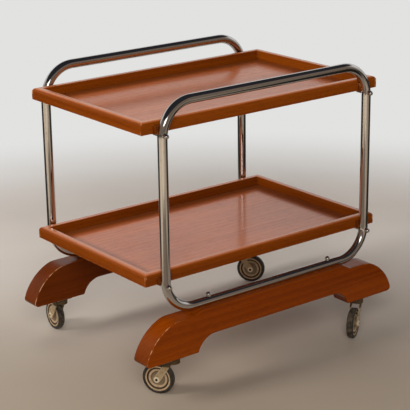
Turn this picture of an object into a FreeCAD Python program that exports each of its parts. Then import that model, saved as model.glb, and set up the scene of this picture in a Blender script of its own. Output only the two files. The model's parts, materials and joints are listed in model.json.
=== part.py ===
# Two-tier tea trolley: two framed trays between two chromed tube loops, on wooden runners with casters.
# Frame: +Z up, X along the trolley, Y across it, origin on the floor under the middle of the trolley.
import FreeCAD
import Part
import Sketcher
import math
import os
from FreeCAD import Placement, Rotation, Vector

# Driving sizes: lengths in millimetres, yaw angles in degrees, counts as whole numbers
SIZES = {
    # trays
    "tray_length": 690,
    "tray_width": 440,
    "tier_spacing": 343,
    "rim_height": 27,
    "rim_thickness": 20,
    "rim_round": 9,
    "rim_inner_round": 2.5,
    "panel_thickness": 5,
    "tongue_thickness": 3,
    "rebate_depth": 8,
    "panel_play": 1,
    "field_play": 0.5,
    # tube loops
    "tube_diameter": 22.2,
    "tube_wall": 1.5,
    "post_inset": 45,
    "bend_radius": 76,
    "handle_rise": 65,
    "bar_drop": 67,
    # post saddles
    "saddle_width": 30,
    "saddle_depth": 9,
    "saddle_web": 2,
    "saddle_round": 2,
    "saddle_clearance": 0.15,
    # tie rods and dome nuts
    "rod_diameter": 7,
    "rod_tail": 5.5,
    "rod_clearance": 0.2,
    "dome_nut_diameter": 12,
    "dome_nut_height": 9,
    "dome_nut_band": 4,
    "dome_nut_play": 0.5,
    # saddle clips and their screws
    "clip_length": 34,
    "clip_width": 12,
    "clip_thickness": 1.5,
    "clip_clearance": 0.1,
    "clip_screw_spacing": 22,
    "clip_screw_diameter": 3,
    "clip_screw_depth": 12,
    "clip_screw_head_diameter": 6,
    "clip_screw_head_height": 1.8,
    # runners
    "runner_overhang": 32,
    "runner_thickness": 51,
    "runner_height": 64.5,
    "foot_drop": 36,
    "foot_length": 147,
    "arch_run": 48,
    "seat_groove": 5,
    "seat_clearance": 0.15,
    "seat_step": 10,
    "seat_step_run": 30,
    "shoulder_run": 52,
    "end_run": 83,
    "end_radius": 121,
    "foot_round": 10,
    "arch_round": 4,
    "shoulder_round": 60,
    "arris_round": 2.5,
    # runner bolts
    "bolt_inset": 30,
    "bolt_diameter": 6.4,
    "bolt_head_diameter": 12,
    "bolt_head_height": 10,
    "bolt_head_band": 4,
    "bolt_tail": 1.5,
    "counterbore_diameter": 22,
    "counterbore_depth": 13,
    "washer_diameter": 19,
    "washer_thickness": 1.6,
    "hex_nut_corners": 12.7,
    "hex_nut_height": 5.5,
    # casters
    "caster_height": 96,
    "caster_inset": 93,
    "caster_trail": 36,
    "near_left_yaw": 123,
    "near_right_yaw": 212,
    "far_left_yaw": 86,
    "far_right_yaw": -48,
    "plate_length": 46,
    "plate_width": 40,
    "plate_thickness": 2.5,
    "plate_corner": 6,
    "caster_screw_spacing_x": 34,
    "caster_screw_spacing_y": 28,
    "caster_screw_diameter": 4,
    "caster_screw_depth": 18,
    "caster_screw_head_diameter": 7.6,
    "caster_screw_head_height": 2.2,
    "ball_count": 10,
    "ball_diameter": 5,
    "ball_circle_diameter": 22,
    "ball_clearance": 0.1,
    "ball_groove_clearance": 0.15,
    "pin_diameter": 8,
    "pin_head_diameter": 13,
    "pin_head_height": 3,
    "pin_play": 0.2,
    "running_clearance": 0.06,
    "fit_clearance": 0.05,
    "cup_diameter": 31,
    "cup_wall": 1.5,
    "cup_gap": 0.5,
    "crown_drop": 6.4,
    "crown_thickness": 10,
    "fork_width": 26,
    "fork_gap": 21,
    "arm_front": 8,
    "arm_back": 6,
    "eye_radius": 8,
    "axle_diameter": 8,
    "axle_bore_diameter": 5.5,
    "axle_head_diameter": 14,
    "axle_head_height": 2.6,
    "head_bevel": 1,
    # wheels
    "wheel_diameter": 75,
    "tyre_width": 17,
    "tyre_round": 5,
    "bead_height": 1.5,
    "hub_diameter": 15,
    "hub_play": 0.3,
    "dish_radius": 16,
    "dish_half": 3.5,
    "step_inner_radius": 18,
    "step_outer_radius": 22,
    "step_half": 6,
    "channel_inner_radius": 23.5,
    "channel_outer_radius": 25.5,
    "channel_half": 4,
    "flange_radius": 27,
    "rim_radius": 30,
    "rim_half": 7,
    "key_depth": 2,
    "key_half": 3,
    "key_mouth_half": 4.5,
    # how far a cutting shape reaches past what it cuts
    "overrun": 2,
}

# Sizes and places that follow from the driving sizes
FORMULAS = {
    # heights above the floor
    "underside_z": "caster_height + foot_drop",
    "seat_z": "underside_z + runner_height",
    "bar_z": "seat_z + bar_rise",
    "bar_rise": "tube_diameter / 2 - seat_groove + seat_clearance",
    "lower_rim_z": "bar_z + bar_drop",
    "upper_rim_z": "lower_rim_z + tier_spacing",
    # trays
    "long_half": "tray_length / 2",
    "short_half": "tray_width / 2",
    "rim_shoulder": "rim_height - rim_round",
    "rim_inner_shoulder": "rim_height - rim_inner_round",
    "rim_inner_crown": "rim_thickness - rim_inner_round",
    "rebate_back": "rim_thickness - rebate_depth",
    "tongue_half_x": "long_half - rebate_back - panel_play",
    "tongue_half_y": "short_half - rebate_back - panel_play",
    "field_half_x": "long_half - rim_thickness - field_play",
    "field_half_y": "short_half - rim_thickness - field_play",
    "long_mitre_out": "long_half + overrun",
    "long_mitre_in": "long_half - rim_thickness - overrun",
    "short_mitre_out": "short_half + overrun",
    "short_mitre_in": "short_half - rim_thickness - overrun",
    "mitre_depth": "rim_thickness + overrun",
    "mitre_reach": "2 * (rim_height + overrun)",
    # loops
    "tube_radius": "tube_diameter / 2",
    "tube_bore_radius": "tube_radius - tube_wall",
    "tube_y": "short_half + groove_y",
    "post_half": "long_half - post_inset",
    "bend_half": "post_half - bend_radius",
    "loop_height": "bar_drop + tier_spacing + handle_rise",
    "bend_top": "loop_height - bend_radius",
    "rod_radius": "rod_diameter / 2",
    "rod_hole_radius": "rod_radius + rod_clearance",
    "lower_rod_rise": "bar_drop - rod_radius",
    "upper_rod_rise": "lower_rod_rise + tier_spacing",
    "tube_cut": "2 * (tube_diameter + overrun)",
    # post saddles
    "groove_y": "saddle_web + tube_radius",
    "groove_radius": "tube_radius + saddle_clearance",
    "saddle_half": "saddle_width / 2",
    "saddle_crown": "saddle_half - saddle_round",
    "saddle_shoulder": "saddle_depth - saddle_round",
    # tie rods and dome nuts
    "nut_y": "tube_y + tube_radius",
    "rod_half": "nut_y + rod_tail",
    "rod_length": "2 * rod_half",
    "lower_rod_z": "lower_rim_z - rod_radius",
    "upper_rod_z": "upper_rim_z - rod_radius",
    "dome_nut_radius": "dome_nut_diameter / 2",
    "dome_nut_bore": "rod_radius + fit_clearance",
    "dome_nut_bore_depth": "rod_tail + dome_nut_play",
    "dome_rise": "dome_nut_height - dome_nut_band",
    "dome_radius": "(dome_nut_radius ^ 2 + dome_rise ^ 2) / (2 * dome_rise)",
    # clips
    "clip_half": "clip_length / 2",
    "clip_bore_radius": "rod_radius + clip_clearance",
    "clip_hump_radius": "clip_bore_radius + clip_thickness",
    "clip_bore_low": "rod_radius + clip_bore_radius",
    "clip_hump_low": "rod_radius + clip_hump_radius",
    "clip_screw_half": "clip_screw_spacing / 2",
    "clip_screw_radius": "clip_screw_diameter / 2",
    "clip_screw_hole": "clip_screw_radius + fit_clearance",
    "clip_hole_cut": "2 * (clip_thickness + overrun)",
    "clip_screw_length": "clip_thickness + clip_screw_depth",
    "clip_screw_tip": "clip_screw_length - clip_screw_radius",
    "clip_pilot_cut": "2 * (clip_screw_depth + fit_clearance)",
    "clip_screw_head_radius": "clip_screw_head_diameter / 2",
    "clip_screw_crown_radius": "clip_screw_head_radius - clip_screw_head_height / 2",
    "clip_screw_crown_low": "clip_screw_head_height / 2",
    "clip_y": "short_half - rim_thickness / 2",
    "rail_middle": "rim_thickness / 2",
    "post_screw_in": "post_half - clip_screw_half",
    "post_screw_out": "post_half + clip_screw_half",
    # runners
    "runner_half": "long_half + runner_overhang",
    "foot_half": "runner_half - foot_length",
    "arch_half": "foot_half - arch_run",
    "arch_radius": "(arch_run ^ 2 + foot_drop ^ 2) / (2 * foot_drop)",
    "seat_half": "step_half_length - seat_step_run",
    "seat_height": "foot_drop + runner_height",
    "end_height": "seat_height - seat_step",
    "step_half_length": "end_top_half - shoulder_run",
    "step_middle": "seat_half + seat_step_run / 2",
    "step_middle_height": "seat_height - seat_step / 2",
    "step_radius": "(seat_step_run ^ 2 + seat_step ^ 2) / (4 * seat_step)",
    "end_top_half": "runner_half - end_run",
    "seat_groove_height": "seat_height + bar_rise",
    "seat_groove_radius": "tube_radius + seat_clearance",
    "seat_groove_length": "2 * (runner_half + overrun)",
    # runner bolts
    "bolt_half": "seat_half - bolt_inset",
    "bolt_radius": "bolt_diameter / 2",
    "bolt_hole_radius": "bolt_radius + fit_clearance",
    "bolt_head_radius": "bolt_head_diameter / 2",
    "bolt_dome_rise": "bolt_head_height - bolt_head_band",
    "bolt_dome_radius": "(bolt_head_radius ^ 2 + bolt_dome_rise ^ 2) / (2 * bolt_dome_rise)",
    "bolt_top_z": "bar_z + tube_radius",
    "bolt_length": "bolt_top_z - underside_z - counterbore_depth + bolt_stack",
    "bolt_stack": "washer_thickness + hex_nut_height + bolt_tail",
    "bolt_cut": "2 * (seat_height + overrun)",
    "counterbore_radius": "counterbore_diameter / 2",
    "counterbore_cut": "2 * (foot_drop + counterbore_depth)",
    "washer_radius": "washer_diameter / 2",
    "washer_z": "underside_z + counterbore_depth - washer_thickness",
    "hex_nut_z": "washer_z - hex_nut_height",
    "hex_nut_radius": "hex_nut_corners / 2",
    # casters
    "caster_half": "runner_half - caster_inset",
    "plate_half_x": "plate_length / 2",
    "plate_half_y": "plate_width / 2",
    "plate_side_x": "plate_half_x - plate_corner",
    "plate_side_y": "plate_half_y - plate_corner",
    "screw_half_x": "caster_screw_spacing_x / 2",
    "screw_half_y": "caster_screw_spacing_y / 2",
    "caster_screw_radius": "caster_screw_diameter / 2",
    "caster_screw_hole": "caster_screw_radius + fit_clearance",
    "caster_screw_length": "plate_thickness + caster_screw_depth",
    "caster_screw_tip": "caster_screw_length - caster_screw_radius",
    "caster_screw_head_radius": "caster_screw_head_diameter / 2",
    "caster_screw_crown_radius": "caster_screw_head_radius - caster_screw_head_height / 2",
    "caster_screw_crown_low": "caster_screw_head_height / 2",
    "caster_pilot_cut": "2 * (caster_screw_depth + fit_clearance)",
    "screw_in_x": "caster_half - screw_half_x",
    "screw_out_x": "caster_half + screw_half_x",
    "screw_z": "caster_height - plate_thickness",
    "ball_radius": "ball_diameter / 2",
    "ball_circle_radius": "ball_circle_diameter / 2",
    "ball_drop": "plate_thickness + ball_clearance + ball_radius",
    "ball_groove_radius": "ball_radius + ball_groove_clearance",
    "pin_radius": "pin_diameter / 2",
    "pin_hole_radius": "pin_radius + running_clearance",
    "pin_head_radius": "pin_head_diameter / 2",
    "pin_bevel_radius": "pin_head_radius - head_bevel",
    "crown_floor": "crown_drop + crown_thickness",
    "pin_seat": "crown_floor + pin_play",
    "pin_low": "pin_seat + pin_head_height",
    "pin_bevel_low": "pin_low - head_bevel",
    "pin_cut": "2 * (crown_floor + overrun)",
    "cup_radius": "cup_diameter / 2",
    "cup_inner_radius": "cup_radius - cup_wall",
    "cup_top": "plate_thickness + cup_gap",
    "axle_drop": "caster_height - wheel_diameter / 2",
    "arm_run": "caster_trail - (arm_front - arm_back) / 2",
    "arm_fall": "axle_drop - crown_drop",
    "arm_reach": "sqrt(arm_run ^ 2 + arm_fall ^ 2)",
    "eye_side_x": "eye_radius * arm_fall / arm_reach",
    "eye_side_z": "eye_radius * arm_run / arm_reach",
    "eye_front_x": "caster_trail + eye_side_x",
    "eye_front_z": "axle_drop - eye_side_z",
    "eye_back_x": "caster_trail - eye_side_x",
    "eye_back_z": "axle_drop + eye_side_z",
    "fork_cut_x": "caster_trail + arm_front + eye_radius + overrun",
    "fork_cut_z": "axle_drop + eye_radius + overrun",
    "fork_cross_cut": "fork_width + overrun",
    "axle_radius": "axle_diameter / 2",
    "axle_bore_radius": "axle_bore_diameter / 2",
    "axle_hole_radius": "axle_radius + fit_clearance",
    "axle_head_radius": "axle_head_diameter / 2",
    "axle_bevel_radius": "axle_head_radius - head_bevel",
    "axle_seat": "fork_width / 2",
    "axle_end": "axle_seat + axle_head_height",
    "axle_bevel_end": "axle_end - head_bevel",
    # wheels
    "bore_radius": "axle_radius + running_clearance",
    "hub_radius": "hub_diameter / 2",
    "hub_half": "fork_gap / 2 - hub_play",
    "key_radius": "rim_radius - key_depth",
    "tyre_radius": "wheel_diameter / 2",
    "tyre_half": "tyre_width / 2",
    "bead_radius": "rim_radius + bead_height",
    "tyre_shoulder": "tyre_radius - tyre_round",
    "tread_half": "tyre_half - tyre_round",
}

# Sketch references: the origin and axes of every sketch, and the points of a curve
ORIGIN_INDEX = -1
HORIZONTAL_INDEX = -1
VERTICAL_INDEX = -2
FIRST_INDEX = 1
LAST_INDEX = 2
CENTRE_INDEX = 3

QUARTER_TURN = 90
HALF_TURN = 180
FULL_TURN = 360
HEX_SIDES = 6
UP = Vector(0, 0, 1)
ACROSS = Vector(1, 0, 0)
# names and signs of the two ends and the two sides
ENDS = (("left", "-"), ("right", ""))
SIDES = (("near", "-"), ("far", ""))

doc = FreeCAD.newDocument("TeaTrolley")
nodes = {}


def fill_sheet():
    sizes = doc.addObject("Spreadsheet::Sheet", "Sizes")
    cells = [(name, str(value)) for name, value in SIZES.items()]
    cells += [(name, "=" + text) for name, text in FORMULAS.items()]
    for row, (name, _) in enumerate(cells, 1):
        sizes.set("A%d" % row, name)
        sizes.setAlias("B%d" % row, name)
    for row, (_, text) in enumerate(cells, 1):
        sizes.set("B%d" % row, text)
    doc.recompute()
    return sizes


sheet = fill_sheet()


def amount(term):
    # a term is a name in the sheet, with a minus sign in front for its opposite, or 0
    if term == "0":
        return 0.0
    if term.startswith("-"):
        return -amount(term[1:])
    return float(sheet.get(term))


def formula(term):
    if term.startswith("-"):
        return "-Sizes." + term[1:]
    return "Sizes." + term


def opposite(term):
    if term == "0":
        return term
    if term.startswith("-"):
        return term[1:]
    return "-" + term


def fix_point(sketch, curve, point, place):
    # ties one point of a curve to a place given by two terms
    ties = (("DistanceX", VERTICAL_INDEX, place[0]), ("DistanceY", HORIZONTAL_INDEX, place[1]))
    for kind, axis, term in ties:
        if term == "0":
            sketch.addConstraint(Sketcher.Constraint("PointOnObject", curve, point, axis))
            continue
        link = Sketcher.Constraint(kind, ORIGIN_INDEX, FIRST_INDEX, curve, point, amount(term))
        number = sketch.addConstraint(link)
        sketch.setExpression("Constraints[%d]" % number, formula(term))


def fix_radius(sketch, curve, radius):
    number = sketch.addConstraint(Sketcher.Constraint("Radius", curve, amount(radius)))
    sketch.setExpression("Constraints[%d]" % number, formula(radius))


def add_line(sketch, start, end):
    return sketch.addGeometry(Part.LineSegment(start, end)), FIRST_INDEX, LAST_INDEX


def add_arc(sketch, start, end, radius, turn):
    # an arc of less than half a turn from start to end, bending left or right
    chord = end - start
    rise = math.sqrt(amount(radius) ** 2 - (chord.Length / 2) ** 2)
    side = Vector(-chord.y, chord.x, 0).normalize() * rise
    middle = (start + end) / 2
    centre = middle + side if turn == "left" else middle - side
    first, last = (start, end) if turn == "left" else (end, start)
    angles = [math.atan2(point.y - centre.y, point.x - centre.x) for point in (first, last)]
    circle = Part.Circle(centre, UP, amount(radius))
    curve = sketch.addGeometry(Part.ArcOfCircle(circle, angles[0], angles[1]))
    fix_radius(sketch, curve, radius)
    if turn == "left":
        return curve, FIRST_INDEX, LAST_INDEX
    return curve, LAST_INDEX, FIRST_INDEX


def draw_outline(sketch, corners):
    # a corner is (x, y), or (x, y, radius, turn) where an arc leads on to the next corner
    curves = []
    for corner, following in zip(corners, corners[1:] + corners[:1]):
        start = Vector(amount(corner[0]), amount(corner[1]), 0)
        end = Vector(amount(following[0]), amount(following[1]), 0)
        if len(corner) == 2:
            curves.append(add_line(sketch, start, end))
        else:
            curves.append(add_arc(sketch, start, end, corner[2], corner[3]))
    for (curve, _, last), (following, first, _) in zip(curves, curves[1:] + curves[:1]):
        sketch.addConstraint(Sketcher.Constraint("Coincident", curve, last, following, first))
    for (curve, first, _), corner in zip(curves, corners):
        fix_point(sketch, curve, first, corner)


def draw_circles(sketch, places, radius):
    for place in places:
        centre = Vector(amount(place[0]), amount(place[1]), 0)
        curve = sketch.addGeometry(Part.Circle(centre, UP, amount(radius)))
        fix_point(sketch, curve, CENTRE_INDEX, place)
        fix_radius(sketch, curve, radius)


def new_body(label):
    return doc.addObject("PartDesign::Body", label)


def new_sketch(body, plane):
    sketch = body.newObject("Sketcher::SketchObject", body.Label + "_sketch")
    support = [item for item in body.Origin.OriginFeatures if item.Role == plane]
    sketch.AttachmentSupport = [(support[0], "")]
    sketch.MapMode = "FlatFace"
    return sketch


def extrude(body, kind, sketch, length, side="Symmetric"):
    feature = body.newObject("PartDesign::" + kind, body.Label + "_" + kind.lower())
    feature.Profile = sketch
    feature.SideType = side
    feature.setExpression("Length", formula(length))
    return feature


def pad_outline(body, plane, corners, length):
    sketch = new_sketch(body, plane)
    draw_outline(sketch, corners)
    return extrude(body, "Pad", sketch, length)


def cut_outline(body, plane, corners, length):
    sketch = new_sketch(body, plane)
    draw_outline(sketch, corners)
    return extrude(body, "Pocket", sketch, length)


def cut_circles(body, plane, places, radius, length):
    sketch = new_sketch(body, plane)
    draw_circles(sketch, places, radius)
    return extrude(body, "Pocket", sketch, length)


def revolve(body, kind, sketch):
    feature = body.newObject("PartDesign::" + kind, body.Label + "_" + kind.lower())
    feature.Profile = sketch
    feature.ReferenceAxis = (sketch, ["V_Axis"])
    feature.Angle = FULL_TURN
    return feature


def turned(label, corners):
    # a body of revolution about Z, whose corners are (radius, height)
    body = new_body(label)
    sketch = new_sketch(body, "XZ_Plane")
    draw_outline(sketch, corners)
    revolve(body, "Revolution", sketch)
    return body


def round_edges(body, base, radius, wanted):
    # rounds those edges of a body's feature that the test accepts
    doc.recompute()
    names = ["Edge%d" % number for number, edge in enumerate(base.Shape.Edges, 1) if wanted(edge)]
    feature = body.newObject("PartDesign::Fillet", body.Label + "_round")
    feature.Base = (base, names)
    feature.setExpression("Radius", formula(radius))
    return feature


def place(item, x, y, z, rotation=Rotation()):
    item.Placement = Placement(Vector(amount(x), amount(y), amount(z)), rotation)
    for axis, term in (("x", x), ("y", y), ("z", z)):
        if term != "0":
            item.setExpression("Placement.Base." + axis, formula(term))


def spot(x, y, z, rotation=Rotation()):
    return Placement(Vector(amount(x), amount(y), amount(z)), rotation)


def keep(label, item):
    item.Label = label
    nodes[label] = item
    return item


def keep_group(label, master, spots):
    # copies of one piece, as separate solids of one node
    doc.recompute()
    copies = []
    for where in spots:
        copy = master.Shape.copy()
        copy.Placement = where
        copies.append(copy)
    node = doc.addObject("Part::Feature", label)
    node.Shape = Part.makeCompound(copies)
    return keep(label, node)


# Trays

def rail(label, mitre_out, mitre_in, length):
    # one side of a tray's rim: outer face on y = 0, a rebate for the panel underneath, both ends mitred
    body = new_body(label)
    section = [
        ("0", "0"),
        ("rebate_back", "0"),
        ("rebate_back", "tongue_thickness"),
        ("rim_thickness", "tongue_thickness"),
        ("rim_thickness", "rim_inner_shoulder", "rim_inner_round", "left"),
        ("rim_inner_crown", "rim_height"),
        ("rim_round", "rim_height", "rim_round", "left"),
        ("0", "rim_shoulder"),
    ]
    pad_outline(body, "YZ_Plane", section, length)
    for flip in (str, opposite):
        mitre = [
            (flip(mitre_out), "-overrun"),
            (flip(mitre_out), "mitre_depth"),
            (flip(mitre_in), "mitre_depth"),
        ]
        cut_outline(body, "XY_Plane", mitre, "mitre_reach")
    return body


def rectangle(x, y):
    return [(opposite(x), opposite(y)), (x, opposite(y)), (x, y), (opposite(x), y)]


def tray_panel(label):
    # a board with a thin tongue all round in the rebates of the rim, and a field standing up inside the rim
    body = new_body(label)
    for x, y, thickness in (
        ("tongue_half_x", "tongue_half_y", "tongue_thickness"),
        ("field_half_x", "field_half_y", "panel_thickness"),
    ):
        sketch = new_sketch(body, "XY_Plane")
        draw_outline(sketch, rectangle(x, y))
        extrude(body, "Pad", sketch, thickness, "One side")
    return body


def make_tray(tier):
    rim_z = tier + "_rim_z"
    for side, sign in SIDES:
        label = "%s_tray_%s_rail" % (tier, side)
        body = rail(label, "long_mitre_out", "long_mitre_in", "tray_length")
        screws = [(sx + x, "rail_middle") for _, sx in ENDS for x in ("post_screw_in", "post_screw_out")]
        cut_circles(body, "XY_Plane", screws, "clip_screw_hole", "clip_pilot_cut")
        turn = Rotation(UP, 0 if sign else HALF_TURN)
        place(keep(label, body), "0", sign + "short_half", rim_z, turn)
    for end, sign in ENDS:
        label = "%s_tray_%s_rail" % (tier, end)
        body = rail(label, "short_mitre_out", "short_mitre_in", "tray_width")
        turn = Rotation(UP, -QUARTER_TURN if sign else QUARTER_TURN)
        place(keep(label, body), sign + "long_half", "0", rim_z, turn)
    label = tier + "_tray_panel"
    place(keep(label, tray_panel(label)), "0", "0", rim_z)


# Tube loops

def add_pipe(body, kind, path, radius):
    section = new_sketch(body, "YZ_Plane")
    draw_circles(section, [("0", "0")], radius)
    pipe = body.newObject("PartDesign::" + kind, body.Label + "_" + kind.lower())
    pipe.Profile = section
    pipe.Spine = path


def bent_bar(label, radius):
    # a solid bar bent into a closed loop with four round corners
    body = new_body(label)
    path = new_sketch(body, "XZ_Plane")
    draw_outline(path, [
        ("0", "0"),
        ("bend_half", "0", "bend_radius", "left"),
        ("post_half", "bend_radius"),
        ("post_half", "bend_top", "bend_radius", "left"),
        ("bend_half", "loop_height"),
        ("-bend_half", "loop_height", "bend_radius", "left"),
        ("-post_half", "bend_top"),
        ("-post_half", "bend_radius", "bend_radius", "left"),
        ("-bend_half", "0"),
    ])
    add_pipe(body, "AdditivePipe", path, radius)
    return body, path


def make_loop(side, sign):
    # a closed loop of bent tube, drilled for the tie rods and for the bolts of its runner
    label = side + "_loop"
    body, path = bent_bar(label, "tube_radius")
    add_pipe(body, "SubtractivePipe", path, "tube_bore_radius")
    rods = [(sx + "post_half", rise) for _, sx in ENDS for rise in ("lower_rod_rise", "upper_rod_rise")]
    cut_circles(body, "XZ_Plane", rods, "rod_hole_radius", "tube_cut")
    bolts = [(sx + "bolt_half", "0") for _, sx in ENDS]
    cut_circles(body, "XY_Plane", bolts, "bolt_hole_radius", "tube_cut")
    place(keep(label, body), "0", sign + "tube_y", "bar_z")


# Post saddles

def saddle_block():
    # a block standing out from a rail's outer face, y = 0, with its two outer arrises rounded
    body = new_body("saddle_block")
    sketch = new_sketch(body, "XY_Plane")
    draw_outline(sketch, [
        ("-saddle_half", "0"),
        ("saddle_half", "0"),
        ("saddle_half", "saddle_shoulder", "saddle_round", "left"),
        ("saddle_crown", "saddle_depth"),
        ("-saddle_crown", "saddle_depth", "saddle_round", "left"),
        ("-saddle_half", "saddle_shoulder"),
    ])
    extrude(body, "Pad", sketch, "rim_shoulder", "One side")
    return body


def make_post_saddles():
    # blocks between the long rails and the posts, hollowed to the run of the bent tube
    block = saddle_block()
    groove, _ = bent_bar("groove", "groove_radius")
    for tier in ("lower", "upper"):
        spots = []
        for _, sy in SIDES:
            outward = Rotation(UP, HALF_TURN if sy else 0)
            for _, sx in ENDS:
                spots.append(spot(sx + "post_half", sy + "short_half", tier + "_rim_z", outward))
        node = keep_group(tier + "_post_saddles", block, spots)
        for _, sy in SIDES:
            hollow = groove.Shape.copy()
            hollow.Placement = spot("0", sy + "tube_y", "bar_z")
            node.Shape = node.Shape.cut(hollow)


# Tie rods, dome nuts and saddle clips

def make_rods(tier):
    # rods across the underside of a tray, from post to post
    along_y = Rotation(ACROSS, -QUARTER_TURN)
    for end, sign in ENDS:
        label = "%s_%s_tie_rod" % (tier, end)
        rod = doc.addObject("Part::Cylinder", label)
        rod.setExpression("Radius", "Sizes.rod_radius")
        rod.setExpression("Height", "Sizes.rod_length")
        place(keep(label, rod), sign + "post_half", "-rod_half", tier + "_rod_z", along_y)


def dome_nut():
    return turned("dome_nut", [
        ("dome_nut_bore", "0"),
        ("dome_nut_radius", "0"),
        ("dome_nut_radius", "dome_nut_band", "dome_radius", "left"),
        ("0", "dome_nut_height"),
        ("0", "dome_nut_bore_depth"),
        ("dome_nut_bore", "dome_nut_bore_depth"),
    ])


def saddle_clip():
    # a strap bent round the lower half of a rod, with an ear on each side for a screw
    body = new_body("saddle_clip")
    strap = [
        ("-clip_half", "-clip_thickness"),
        ("-clip_hump_radius", "-clip_thickness"),
        ("-clip_hump_radius", "-rod_radius", "clip_hump_radius", "left"),
        ("0", "-clip_hump_low", "clip_hump_radius", "left"),
        ("clip_hump_radius", "-rod_radius"),
        ("clip_hump_radius", "-clip_thickness"),
        ("clip_half", "-clip_thickness"),
        ("clip_half", "0"),
        ("clip_bore_radius", "0"),
        ("clip_bore_radius", "-rod_radius", "clip_bore_radius", "right"),
        ("0", "-clip_bore_low", "clip_bore_radius", "right"),
        ("-clip_bore_radius", "-rod_radius"),
        ("-clip_bore_radius", "0"),
        ("-clip_half", "0"),
    ]
    pad_outline(body, "XZ_Plane", strap, "clip_width")
    holes = [(sx + "clip_screw_half", "0") for _, sx in ENDS]
    cut_circles(body, "XY_Plane", holes, "clip_screw_hole", "clip_hole_cut")
    return body


def pan_screw(name):
    # a pan-headed wood screw, head down, seated on z = 0
    return turned(name, [
        ("0", "-%s_head_height" % name),
        ("%s_crown_radius" % name, "-%s_head_height" % name),
        ("%s_head_radius" % name, "-%s_crown_low" % name),
        ("%s_head_radius" % name, "0"),
        ("%s_radius" % name, "0"),
        ("%s_radius" % name, "%s_tip" % name),
        ("0", "%s_length" % name),
    ])


def make_tray_fasteners():
    nut = dome_nut()
    clip = saddle_clip()
    screw = pan_screw("clip_screw")
    for tier in ("lower", "upper"):
        nuts = []
        clips = []
        screws = []
        for _, sy in SIDES:
            outward = Rotation(ACROSS, QUARTER_TURN if sy else -QUARTER_TURN)
            for _, sx in ENDS:
                nuts.append(spot(sx + "post_half", sy + "nut_y", tier + "_rod_z", outward))
                clips.append(spot(sx + "post_half", sy + "clip_y", tier + "_rim_z"))
                for x in ("post_screw_in", "post_screw_out"):
                    head = spot(sx + x, sy + "clip_y", tier + "_rim_z")
                    head.Base.z -= amount("clip_thickness")
                    screws.append(head)
        keep_group(tier + "_dome_nuts", nut, nuts)
        keep_group(tier + "_rod_clips", clip, clips)
        keep_group(tier + "_clip_screws", screw, screws)


# Runners

def runner_half_outline(flip):
    # right half of a runner's outline, from the arch up to the seat
    return [
        (flip("arch_half"), "foot_drop", "arch_radius", "right"),
        (flip("foot_half"), "0"),
        (flip("runner_half"), "0", "end_radius", "left"),
        (flip("end_top_half"), "end_height"),
        (flip("step_half_length"), "end_height", "step_radius", "right"),
        (flip("step_middle"), "step_middle_height", "step_radius", "left"),
        (flip("seat_half"), "seat_height"),
    ]


def runner_outline():
    # the left half is the right half run backwards, so each arc moves to the corner it then starts from
    right = runner_half_outline(str)
    mirrored = runner_half_outline(opposite)[::-1]
    left = []
    for corner, following in zip(mirrored, mirrored[1:] + [("", "")]):
        left.append(corner[:2] + following[2:])
    return right + left


def across_edge(places):
    # accepts the edges across a runner that pass through one of the places (x, z)
    def wanted(edge):
        box = edge.BoundBox
        if box.YLength < amount("runner_thickness") / 2:
            return False
        return any(abs(box.Center.x - x) + abs(box.Center.z - z) < amount("overrun") for x, z in places)
    return wanted


def mirrored_places(x, z):
    return [(sign * amount(x), amount(z)) for sign in (1, -1)]


def face_edge(edge):
    # accepts the edges that lie in a runner's front or back face
    box = edge.BoundBox
    depth = abs(abs(box.Center.y) - amount("runner_thickness") / 2)
    return box.YLength < amount("fit_clearance") and depth < amount("fit_clearance")


def make_runner(side, sign):
    label = side + "_runner"
    body = new_body(label)
    block = pad_outline(body, "XZ_Plane", runner_outline(), "runner_thickness")
    for corner, radius in (
        (mirrored_places("end_top_half", "end_height"), "shoulder_round"),
        (mirrored_places("runner_half", "0"), "foot_round"),
        (mirrored_places("foot_half", "0"), "arch_round"),
    ):
        block = round_edges(body, block, radius, across_edge(corner))
    round_edges(body, block, "arris_round", face_edge)
    cut_circles(body, "YZ_Plane", [("0", "seat_groove_height")], "seat_groove_radius", "seat_groove_length")
    bolts = [(sx + "bolt_half", "0") for _, sx in ENDS]
    cut_circles(body, "XY_Plane", bolts, "bolt_hole_radius", "bolt_cut")
    cut_circles(body, "XY_Plane", bolts, "counterbore_radius", "counterbore_cut")
    screws = []
    for _, sx in ENDS:
        for x in ("screw_in_x", "screw_out_x"):
            for y in ("screw_half_y", "-screw_half_y"):
                screws.append((sx + x, y))
    cut_circles(body, "XY_Plane", screws, "caster_screw_hole", "caster_pilot_cut")
    place(keep(label, body), "0", sign + "tube_y", "caster_height")


def dome_bolt():
    return turned("dome_bolt", [
        ("0", "-bolt_length"),
        ("bolt_radius", "-bolt_length"),
        ("bolt_radius", "0"),
        ("bolt_head_radius", "0"),
        ("bolt_head_radius", "bolt_head_band", "bolt_dome_radius", "left"),
        ("0", "bolt_head_height"),
    ])


def bolt_washer():
    return turned("bolt_washer", [
        ("bolt_hole_radius", "0"),
        ("washer_radius", "0"),
        ("washer_radius", "washer_thickness"),
        ("bolt_hole_radius", "washer_thickness"),
    ])


def hex_nut():
    prism = doc.addObject("Part::Prism", "hex_blank")
    prism.Polygon = HEX_SIDES
    prism.setExpression("Circumradius", "Sizes.hex_nut_radius")
    prism.setExpression("Height", "Sizes.hex_nut_height")
    bore = doc.addObject("Part::Cylinder", "hex_bore")
    bore.setExpression("Radius", "Sizes.bolt_hole_radius")
    bore.setExpression("Height", "Sizes.hex_nut_height")
    nut = doc.addObject("Part::Cut", "hex_nut")
    nut.Base = prism
    nut.Tool = bore
    return nut


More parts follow.
